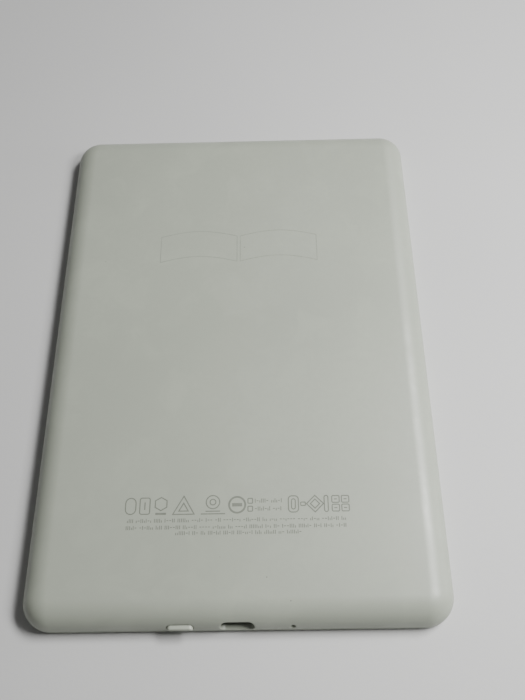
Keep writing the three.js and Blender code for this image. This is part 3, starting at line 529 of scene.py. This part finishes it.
FRAME_ROWS = (1.95, 6.15)  # heights between which the wall is meshed round each opening
FRAME_STEPS = 14  # mesh rows between those heights
FRAME_MARGIN = 1.3  # how far that mesh reaches past the opening on each side
FINE_STEP = 0.45  # widths of the mesh along the bottom edge
COARSE_STEP = 2.5
SEAM_GAP = 0.15  # between the bezel's rim and the cover


def opening_span(opening):
    """Left and right end of the stretch of wall that is meshed round an opening."""
    x, width, _ = opening
    return x - width / 2 - FRAME_MARGIN, x + width / 2 + FRAME_MARGIN


def bottom_positions():
    """Mesh positions along the straight part of the bottom edge: close together near the openings."""
    half = WIDTH / 2 - CORNER
    stops = [-half]
    for opening in sorted(OPENINGS.values()):
        stops += opening_span(opening)
    stops.append(half)
    positions = [stops[0]]
    for i, (start, end) in enumerate(zip(stops, stops[1:])):
        step = FINE_STEP if i % 2 else COARSE_STEP
        count = max(1, math.ceil((end - start) / step))
        positions += [start + (end - start) * k / count for k in range(1, count + 1)]
    return positions


BOTTOM_POSITIONS = bottom_positions()


def body_loop(width, length, corner, z, centre_y=0.0):
    """A rounded rectangle, anticlockwise from the left end of its bottom side."""
    hx, hy = width / 2 - corner, length / 2 - corner
    half = WIDTH / 2 - CORNER
    loop = [(hx * x / half, centre_y - hy - corner, z) for x in BOTTOM_POSITIONS]
    ends = [(hx, -hy), (hx, hy), (-hx, hy), (-hx, -hy)]
    for i, (cx, cy) in enumerate(ends):
        for k in range(1, CORNER_STEPS + 1):
            angle = math.radians(90 * (i - 1) + 90 * k / CORNER_STEPS)
            loop.append((cx + corner * math.cos(angle), centre_y + cy + corner * math.sin(angle), z))
        if i == 3:
            loop.pop()  # the last corner ends where the loop began
            break
        turn = math.radians(90 * i)
        start = Vector(loop[-1])
        next_x, next_y = ends[i + 1]
        end = Vector((next_x + corner * math.cos(turn), centre_y + next_y + corner * math.sin(turn), z))
        loop += [tuple(start.lerp(end, k / SIDE_STEPS)) for k in range(1, SIDE_STEPS + 1)]
    return loop


def inset_loop(inset, z):
    """The body's outline, moved in from its sides."""
    return body_loop(WIDTH - 2 * inset, LENGTH - 2 * inset, max(CORNER - inset, 0.3), z)


def outer_inset(z):
    """How far the cover's outer surface stands in from the body's sides at a height."""
    rise = min(1.0, max(0.0, (z - CURVE_START) / CURVE_RISE))
    return CURVE_INSET * (1 - math.sqrt(1 - rise * rise))


def inner_inset(z):
    """The same for the surface of its cavity."""
    rise = min(1.0, max(0.0, (z - CAVITY_START) / (ROOF_Z - CAVITY_START)))
    return WALL + CAVITY_INSET * (1 - math.sqrt(1 - rise * rise))


def wall_rows(start, rise):
    """Heights of the mesh rows, finer where the wall turns into the back."""
    low, high = FRAME_ROWS
    rows = [low + (high - low) * k / FRAME_STEPS for k in range(FRAME_STEPS + 1)]
    angle = math.asin((high - start) / rise)
    steps = 16
    turns = [angle + (math.pi / 2 - angle) * k / steps for k in range(1, steps + 1)]
    return rows + [start + rise * math.sin(turn) for turn in turns]


def outline_point(opening, x, z, grow):
    """The point of an opening's outline, grown by that much, that is nearest to (x, z)."""
    centre, width, height = opening
    half = (width - height) / 2
    middle = Vector((centre + min(max(x - centre, -half), half), EDGE_Z))
    return middle + (Vector((x, z)) - middle).normalized() * (height / 2 + grow)


def frame_verts(rows, opening, first_row, last_row):
    """The grid's points round an opening, anticlockwise seen from the bottom edge, and its columns."""
    left, right = opening_span(opening)
    inside = [i for i, x in enumerate(BOTTOM_POSITIONS) if left - 1e-6 <= x <= right + 1e-6]
    first, last = inside[0], inside[-1]
    around = [rows[first_row][i] for i in range(first, last)]
    around += [rows[k][last] for k in range(first_row, last_row)]
    around += [rows[last_row][i] for i in range(last, first, -1)]
    around += [rows[k][first] for k in range(last_row, first_row, -1)]
    return around, range(first, last)


def wall_opening(bm, around, opening, surface, edge):
    """Meshes the wall from the grid to the opening, and returns the ring at the end of its edge.

    The edge is a list of pairs: how far a ring lies outside the opening, and how deep in the wall.
    """
    rings = [around]
    for share in (0.33, 0.66):
        ring = []
        for vert in around:
            start = Vector((vert.co.x, vert.co.z))
            x, z = start.lerp(outline_point(opening, *start, edge[0][0]), share)
            ring.append(bm.verts.new((x, surface(z), z)))
        rings.append(ring)
    for grow, sink in edge:
        ring = []
        for vert in around:
            x, z = outline_point(opening, vert.co.x, vert.co.z, grow)
            ring.append(bm.verts.new((x, surface(z) + sink, z)))
        rings.append(ring)
    for a, b in zip(rings, rings[1:]):
        join_rings(bm, a, b)
    return rings[-1]


def skin_with_gaps(bm, loops, first_row):
    """Skins one surface of the cover. Returns its rows and the grid's points round each gap left."""
    rows = [[bm.verts.new(point) for point in loop] for loop in loops]
    last_row = first_row + FRAME_STEPS
    frames = [frame_verts(rows, opening, first_row, last_row) for opening in OPENINGS.values()]
    skipped = {i for _, columns in frames for i in columns}
    for k, (low, high) in enumerate(zip(rows, rows[1:])):
        for i in range(len(low)):
            if first_row <= k < last_row and i in skipped:
                continue
            j = (i + 1) % len(low)
            bm.faces.new((low[i], low[j], high[j], high[i]))
    bm.faces.new(rows[-1])
    return rows, [around for around, _ in frames]


def build_rear_cover(bm):
    """A closed shell: an outer and an inner surface that meet at the seam and in the openings."""
    bottom = SEAM_Z + SEAM_GAP
    seam = [inset_loop(side, bottom + up) for up, side in reversed(quarter(4, SEAM_ROUND))]
    outside = seam + [inset_loop(outer_inset(z), z) for z in wall_rows(CURVE_START, CURVE_RISE)]
    inside = [inset_loop(WALL, bottom)]
    inside += [inset_loop(inner_inset(z), z) for z in wall_rows(CAVITY_START, ROOF_Z - CAVITY_START)]
    outer_rows, outer_frames = skin_with_gaps(bm, outside, len(seam))
    inner_rows, inner_frames = skin_with_gaps(bm, inside, 1)
    join_rings(bm, outer_rows[0], inner_rows[0])
    rounded = quarter(5, MOUTH_ROUND)
    for opening, outer_frame, inner_frame in zip(OPENINGS.values(), outer_frames, inner_frames):
        mouth = wall_opening(bm, outer_frame, opening, lambda z: outer_inset(z) - LENGTH / 2, rounded)
        back = wall_opening(bm, inner_frame, opening, lambda z: inner_inset(z) - LENGTH / 2, [(0, 0)])
        join_rings(bm, mouth, back)
    unused = [vert for vert in bm.verts if not vert.link_faces]
    bmesh.ops.delete(bm, geom=unused, context="VERTS")


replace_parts(make_piece("rear_cover_looks", build_rear_cover, "cover_plastic"), "rear_cover")

# ------------------------------------------------------------------ front bezel

TONGUE_INSETS = (1.6, 2.5)  # the tongue stands inside the cover's wall
TONGUE_GAP = (-20.0, 17.5)  # no tongue behind the port and the button
TONGUE_FOOT = 0.05  # height that is left of it there
WINDOW_ROUND = 0.22
LIP_THICKNESS = 1.0  # of the rim round the window


def window_loop(grow, z):
    """The display window's outline, grown by that much."""
    width, length, centre_y, corner = WINDOW
    return body_loop(width + 2 * grow, length + 2 * grow, corner + grow, z, centre_y)


def tongue_loop(inset, top):
    """One edge of the tongue's top, let down to the rim behind the port and the button."""
    loop = []
    for x, y, _ in inset_loop(inset, top):
        on_bottom_edge = y < -LENGTH / 2 + 4
        in_gap = on_bottom_edge and TONGUE_GAP[0] < x < TONGUE_GAP[1]
        loop.append((x, y, SEAM_Z + TONGUE_FOOT if in_gap else top))
    return loop


def build_front_bezel(bm):
    """One closed section, from the rim down round the front and the window, and up the tongue."""
    outer, inner = TONGUE_INSETS
    loops = [inset_loop(outer, SEAM_Z)]
    loops += [inset_loop(side, SEAM_Z - down) for side, down in quarter(4, SEAM_ROUND)]
    loops += [inset_loop(side, up) for up, side in quarter(8, FRONT_ROUND)]
    loops += [window_loop(side, up) for side, up in quarter(5, WINDOW_ROUND)]
    loops += [window_loop(0, LIP_THICKNESS), inset_loop(inner, LIP_THICKNESS)]
    loops += [tongue_loop(inner, BEZEL_TOP), tongue_loop(outer, BEZEL_TOP)]
    loft(bm, loops, closed=True)


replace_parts(make_piece("front_bezel_looks", build_front_bezel, "bezel_plastic"), "front_bezel")

# ------------------------------------------------------------------ power button

BUTTON_ROUND = 0.42  # rounding of the cap's edge
CROWN_RINGS = ((0.9, 0.0), (0.7, 0.01))  # pairs (inset, depth) of the cap's slightly domed middle
CROWN_DEPTH = 0.025
BUTTON_FLANGE = (8.6, 2.2, 0.5)  # width, height, thickness
BUTTON_NUB = (2.4, 1.0, 0.1)


def build_power_button(bm):
    """The cap, the flange that keeps it in the case and the nub that meets the switch."""
    width, height = BUTTON_SIZE
    flange_width, flange_height, flange_thickness = BUTTON_FLANGE
    nub_width, nub_height, nub_depth = BUTTON_NUB
    front, back = BUTTON_LOW.y, BUTTON_HIGH.y
    flange_back = back - nub_depth
    flange_front = flange_back - flange_thickness
    loops = [stadium(width - 2 * inset, height - 2 * inset, front + depth, BUTTON_X)
             for inset, depth in CROWN_RINGS]
    loops += [stadium(width - 2 * side, height - 2 * side, front + CROWN_DEPTH + along, BUTTON_X)
              for along, side in reversed(quarter(7, BUTTON_ROUND))]
    loops.append(stadium(width, height, flange_front, BUTTON_X))
    loops += [stadium(flange_width, flange_height, y, BUTTON_X) for y in (flange_front, flange_back)]
    loops += [stadium(nub_width, nub_height, y, BUTTON_X) for y in (flange_back, back)]
    loft(bm, loops)


button = make_piece("power_button_looks", build_power_button, "button_plastic", "button")
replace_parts(button, "power_button")

# ------------------------------------------------------------------ the switch's spring dome

DOME_LOW, DOME_HIGH = box_mm("switch_dome")
DOME_THICKNESS = 0.08
DOME_STEPS = 24
DOME_END = 0.7  # height of its ends, as a share of its middle's


def build_spring_dome(bm):
    """A strip of spring steel bowed towards the button, narrower at its ends."""
    rise = DOME_HIGH.y - DOME_LOW.y - DOME_THICKNESS
    half_height = (DOME_HIGH.z - DOME_LOW.z) / 2
    loops = []
    for k in range(DOME_STEPS + 1):
        t = k / DOME_STEPS
        x = DOME_LOW.x + (DOME_HIGH.x - DOME_LOW.x) * t
        back = DOME_HIGH.y - rise * 4 * t * (1 - t)
        front = back - DOME_THICKNESS
        tall = half_height * (DOME_END + (1 - DOME_END) * math.sin(math.pi * t))
        low, high = EDGE_Z - tall, EDGE_Z + tall
        loops.append([(x, back, low), (x, back, high), (x, front, high), (x, front, low)])
    loft(bm, loops)


dome = make_piece("spring_dome", build_spring_dome, "shield_steel")
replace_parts(dome, "switch_dome")
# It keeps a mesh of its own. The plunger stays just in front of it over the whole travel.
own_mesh(dome)

# ------------------------------------------------------------------ charging port

PORT_WALL = 0.3
PORT_SIZE = (8.94, 3.26)
WING_Y = (-73.2, -71.4)  # the shell's two soldering wings
WING_Z = (4.87, 5.1)
WING_OVERLAP = 0.25  # how far they reach into the shell's round sides
PLATE = (6.7, 0.7, 0.25)  # the tongue's contact plate: width, height, corner radius
PLATE_TIP = ((0.5, 0.36, 0.12, 0.0), (0.14, 0.1, 0.2, 0.16))  # less width, less height, corner, depth
PLATE_TIP_DEPTH = 0.4
STEP = (7.2, 1.1, 0.3)  # the thicker root of the plate
PLATE_END, STEP_START, STEP_END = 3.2, 3.1, 2.0  # distances from the tongue's back
CONTACTS = 12  # on each side of the plate
CONTACT_PITCH = 0.5
CONTACT_WIDTH = 0.28
CONTACT_HEIGHTS = (0.34, 0.38)  # bottom and top of a contact, from the plate's middle


def add_block(bm, low, high):
    """A plain block between two corners, for small parts that get their edges bevelled."""
    corners = [bm.verts.new(point) for point in itertools.product(*zip(low, high))]
    for face in ((0, 1, 3, 2), (4, 6, 7, 5), (0, 4, 5, 1), (2, 3, 7, 6), (0, 2, 6, 4), (1, 5, 7, 3)):
        bm.faces.new([corners[i] for i in face])


def build_port_shell(bm):
    """A stadium tube with a rounded lip at its mouth, and a wing on each side."""
    front, back = SHELL_LOW.y, SHELL_HIGH.y
    width, height = PORT_SIZE
    half = PORT_WALL / 2
    loops = []
    for k in range(9):
        angle = math.pi * k / 8
        inset = half - half * math.cos(angle)
        depth = half - half * math.sin(angle)
        loops.append(stadium(width - 2 * inset, height - 2 * inset, front + depth))
    loops += [stadium(width - 2 * PORT_WALL, height - 2 * PORT_WALL, back), stadium(width, height, back)]
    loft(bm, loops, closed=True)
    for side in (-1, 1):
        left, right = sorted((side * (width / 2 - WING_OVERLAP), side * SHELL_HIGH.x))
        add_block(bm, (left, WING_Y[0], WING_Z[0]), (right, WING_Y[1], WING_Z[1]))


def build_port_tongue(bm):
    """The contact plate, its thicker root and the plug of plastic that closes the shell's back."""
    tip, back = TONGUE_LOW.y, TONGUE_HIGH.y
    width, height = (size - 2 * PORT_WALL - 0.04 for size in PORT_SIZE)
    loops = [rounded_slot(PLATE[0] - less_width, PLATE[1] - less_height, corner, tip + depth)
             for less_width, less_height, corner, depth in PLATE_TIP]
    loops += [rounded_slot(*PLATE, y) for y in (tip + PLATE_TIP_DEPTH, back - PLATE_END)]
    loops += [rounded_slot(*STEP, y) for y in (back - STEP_START, back - STEP_END)]
    loops += [rounded_slot(width, height, height / 2 - 0.01, y) for y in (back - STEP_END, back)]
    loft(bm, loops)


def build_port_contacts(bm):
    """Two rows of plated contacts, one on each side of the tongue."""
    start, end = TONGUE_LOW.y + 0.5, TONGUE_HIGH.y - PLATE_END - 0.1
    for side in (-1, 1):
        low, high = sorted(EDGE_Z + side * height for height in CONTACT_HEIGHTS)
        for i in range(CONTACTS):
            x = (i - (CONTACTS - 1) / 2) * CONTACT_PITCH
            add_block(bm, (x - CONTACT_WIDTH / 2, start, low), (x + CONTACT_WIDTH / 2, end, high))


def bevel_edges(piece, width):
    """Rounds the sharp edges of a piece by that many millimetres."""
    bevel = piece.modifiers.new("edges", "BEVEL")
    bevel.width = width * MM
    bevel.segments = 2
    bevel.limit_method = "ANGLE"
    bevel.angle_limit = math.radians(50)
    bevel.use_clamp_overlap = True


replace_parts(make_piece("port_shell_looks", build_port_shell, "shield_steel"), "usb_c_shell")
tongue = make_piece("port_tongue_looks", build_port_tongue, "black_connector_plastic")
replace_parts(tongue, "usb_c_tongue")
bevel_edges(make_piece("port_contacts", build_port_contacts, "contact_metal"), 0.01)

# ------------------------------------------------------------------ charge indicator

PIPE_DIAMETER = 1.1
PIPE_FLANGE = (2.4, 1.8)
PIPE_FLANGE_Y = (2.65, 1.9)  # distances of its faces from the pipe's back


def build_light_pipe(bm):
    """A round rod with a domed end and a flange that holds it in the cover."""

    def ring(width, height, y):
        return stadium(width, height, y, PIPE_X, steps=12)

    def round_ring(diameter, y):
        return ring(diameter, diameter - 0.001, y)  # a stadium has to be a little wider than high

    front, back = PIPE_LOW.y, PIPE_HIGH.y
    flange_front, flange_back = (back - distance for distance in PIPE_FLANGE_Y)
    loops = [round_ring(PIPE_DIAMETER - 2 * side, front + along)
             for along, side in reversed(quarter(6, 0.425 * PIPE_DIAMETER))]
    loops.append(round_ring(PIPE_DIAMETER, flange_front))
    loops += [ring(*PIPE_FLANGE, y) for y in (flange_front, flange_back)]
    loops += [round_ring(PIPE_DIAMETER, y) for y in (flange_back, back)]
    loft(bm, loops)


light_pipe = make_piece("light_pipe_looks", build_light_pipe, "light_pipe_plastic")
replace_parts(light_pipe, "led_light_pipe")

# ------------------------------------------------------------------ printed marks on the back


def stroke(bm, points, width, closed=False):
    """A line of ink through points on the back."""
    count = len(points)
    stations = []
    for i, point in enumerate(points):
        here = Vector(point)
        before = Vector(points[i - 1]) if closed or i else here
        after = Vector(points[(i + 1) % count]) if closed or i < count - 1 else here
        directions = [d.normalized() for d in (here - before, after - here) if d.length > 1e-6]
        along = sum(directions, Vector((0, 0))).normalized()
        across = Vector((-along.y, along.x)) * width / 2 / max(0.5, along.dot(directions[0]))
        left, right = here + across, here - across
        section = ((left, BACK_Z), (right, BACK_Z), (right, COVER_HIGH.z), (left, COVER_HIGH.z))
        stations.append([bm.verts.new((p.x, p.y, z)) for p, z in section])
    join_all(bm, stations, closed)


def polygon(x, y, radius, sides):
    """A regular polygon with a corner at its top, or a ring if it has many sides."""
    angles = [math.radians(90 + 360 * k / sides) for k in range(sides)]
    return [(x + radius * math.cos(a), y + radius * math.sin(a)) for a in angles]


def frame_shape(x, y, width, height, corner=0.5):
    """A rectangle with rounded corners, as points."""
    hx, hy = width / 2 - corner, height / 2 - corner
    points = []
    for i, (cx, cy) in enumerate(((hx, -hy), (hx, hy), (-hx, hy), (-hx, -hy))):
        for k in range(5):
            angle = math.radians(90 * (i - 1) + 90 * k / 4)
            points.append((x + cx + corner * math.cos(angle), y + cy + corner * math.sin(angle)))
    return points


def capsule(x, y, width, height):
    """A rectangle with fully rounded ends."""
    return frame_shape(x, y, width, height, min(width, height) / 2 - 0.01)


def build_symbols(bm):
    """A row of plain shapes: rings, frames, polygons and bars that stand for no real mark."""
    y = -48.9
    line = 0.3
    stroke(bm, capsule(-27.7, y, 2.7, 4.3), line, closed=True)
    stroke(bm, frame_shape(-24.0, y, 2.6, 4.3), line, closed=True)
    stroke(bm, [(-24.0, y - 1.0), (-24.0, y + 1.0)], line)
    stroke(bm, polygon(-19.8, y + 0.5, 1.75, 6), line, closed=True)
    stroke(bm, [(-21.2, y - 2.1), (-18.4, y - 2.1)], 0.55)
    stroke(bm, polygon(-13.9, y - 0.7, 3.2, 3), line, closed=True)
    stroke(bm, polygon(-13.9, y - 0.75, 1.4, 3), line, closed=True)
    stroke(bm, polygon(-6.3, y + 0.8, 1.75, 32), line, closed=True)
    stroke(bm, polygon(-6.3, y + 0.8, 0.75, 24), line, closed=True)
    stroke(bm, [(-8.2, y - 1.6), (-4.4, y - 1.6)], line)
    stroke(bm, [(-9.4, y - 2.3), (-3.1, y - 2.3)], line)
    stroke(bm, polygon(0.0, y, 2.1, 32), 0.5, closed=True)
    stroke(bm, [(-1.3, y), (1.3, y)], 0.9)
    for row in (y + 1.0, y - 1.1):
        stroke(bm, frame_shape(3.4, row, 1.2, 1.3, 0.2), line, closed=True)
        add_ticks(bm, row, 4.6, 12.0, 1.1)
    stroke(bm, frame_shape(14.6, y, 2.6, 4.3, 0.9), line, closed=True)
    stroke(bm, capsule(14.6, y, 1.0, 2.7), line, closed=True)
    stroke(bm, frame_shape(17.1, y, 1.2, 0.9, 0.2), line, closed=True)
    stroke(bm, polygon(20.2, y, 2.2, 4), line, closed=True)
    stroke(bm, polygon(20.2, y, 1.2, 4), line, closed=True)
    stroke(bm, capsule(23.1, y, 1.0, 4.3), line, closed=True)
    for dx in (-1.25, 1.25):
        for dy in (-1.15, 1.15):
            stroke(bm, frame_shape(26.8 + dx, y + dy, 1.9, 1.8, 0.3), 0.28, closed=True)
            stroke(bm, [(26.4 + dx, y + dy), (27.2 + dx, y + dy)], 0.28)


PRINT_SHUFFLE = random.Random(6)


def add_ticks(bm, y, left, right, height):
    """A row of tall and short upright bars and level dashes in groups, which spell nothing."""
    bar, dash = 0.21, 0.5
    x = left
    while x < right - 3 * dash:
        for _ in range(PRINT_SHUFFLE.randint(3, 8)):
            if x > right - dash:
                break
            kind = PRINT_SHUFFLE.choice(("tall", "tall", "short", "dash"))
            if kind == "dash":
                stroke(bm, [(x, y), (x + dash, y)], 0.22)
                x += dash + 0.24
            else:
                top = y + height / 2 if kind == "tall" else y + 0.1 * height
                stroke(bm, [(x + bar / 2, y - height / 2), (x + bar / 2, top)], bar)
                x += bar + 0.24
        x += 0.5


def build_print_lines(bm):
    """Three rows of ticks, where a printed notice would be."""
    for y, left, right in ((-52.8, -28.4, 28.5), (-54.6, -28.6, 28.3), (-56.1, -15.8, 16.6)):
        add_ticks(bm, y, left, right, 1.0)


def build_emblem(bm):
    """A faint open book in outline: two pages that meet at the spine."""
    half, height, line = 24.0, 9.4, 0.27
    foot = 27.2
    fold = 0.5  # half the gap between the pages at the spine
    bulge = 2.0  # how far a page's middle rises above its ends
    steps = 20
    for side in (-1, 1):
        top = []
        for k in range(steps + 1):
            t = k / steps
            x = side * (fold + (half - fold) * t)
            top.append((x, foot + height + bulge * math.sin(math.pi * t)))
        low = [(x, y - height) for x, y in reversed(top)]
        stroke(bm, top + low, line, closed=True)


make_piece("printed_symbols", build_symbols, "cover_plastic", material=INK_LOOK)
make_piece("printed_dashes", build_print_lines, "cover_plastic", material=INK_LOOK)
make_piece("printed_book_outline", build_emblem, "cover_plastic", material=FAINT_INK_LOOK)

# ------------------------------------------------------------------ carried-over parts

SLOTS = {part["node"]: part["material_slot"] for part in frame["record"]["subparts"]}
REPLACED = {
    "rear_cover",
    "front_bezel",
    "power_button",
    "switch_dome",
    "usb_c_shell",
    "usb_c_tongue",
    "led_light_pipe",
}
WELD_DISTANCE = 0.002
THINNEST_BEVELLED = 0.25  # sheets thinner than this keep their plain edges
WIDEST_BEVEL = 0.12
BEVEL_SHARE = 0.12  # of a part's thickness


def dress(node):
    """Gives a CAD node its slot's material, and fine rounded edges if it is thick enough."""
    part = frame["nodes"][node]
    part.data.materials.clear()
    part.data.materials.append(MATERIALS[SLOTS[node]])
    low, high = box_mm(node)
    thickness = min(high - low)
    weld = part.modifiers.new("weld", "WELD")
    weld.merge_threshold = WELD_DISTANCE * MM
    if thickness > THINNEST_BEVELLED:
        bevel_edges(part, min(WIDEST_BEVEL, BEVEL_SHARE * thickness))


for node in frame["nodes"]:
    if node not in REPLACED:
        dress(node)

# ------------------------------------------------------------------ floor and light


def add_floor():
    """A large square that the object lies on."""
    bm = bmesh.new()
    bmesh.ops.create_grid(bm, x_segments=8, y_segments=8, size=2.0)
    mesh = bpy.data.meshes.new("floor")
    bm.to_mesh(mesh)
    bm.free()
    mesh.materials.append(pale_floor("pale_floor"))
    floor = bpy.data.objects.new("floor", mesh)
    bpy.context.scene.collection.objects.link(floor)


def add_softbox(name, place, size, power):
    """A rectangular light that faces the object."""
    data = bpy.data.lights.new(name, "AREA")
    data.shape = "RECTANGLE"
    data.size, data.size_y = size
    data.energy = power
    light = bpy.data.objects.new(name, data)
    light.location = place
    light.rotation_euler = (-Vector(place)).to_track_quat("-Z", "Y").to_euler()
    bpy.context.scene.collection.objects.link(light)


def add_world(strength):
    """Even white light from all round."""
    world = bpy.data.worlds.new("studio")
    world.use_nodes = True
    background = world.node_tree.nodes["Background"]
    background.inputs["Color"].default_value = (1, 1, 1, 1)
    background.inputs["Strength"].default_value = strength
    bpy.context.scene.world = world


add_floor()
add_world(0.11)
add_softbox("key", place=(0.21, -0.03, 0.26), size=(0.09, 0.09), power=0.95)
add_softbox("high", place=(0.37, 0.20, 0.52), size=(0.20, 0.14), power=3.7)
add_softbox("edge_strip", place=(0.50, 0.02, 0.10), size=(0.10, 0.10), power=0.38)
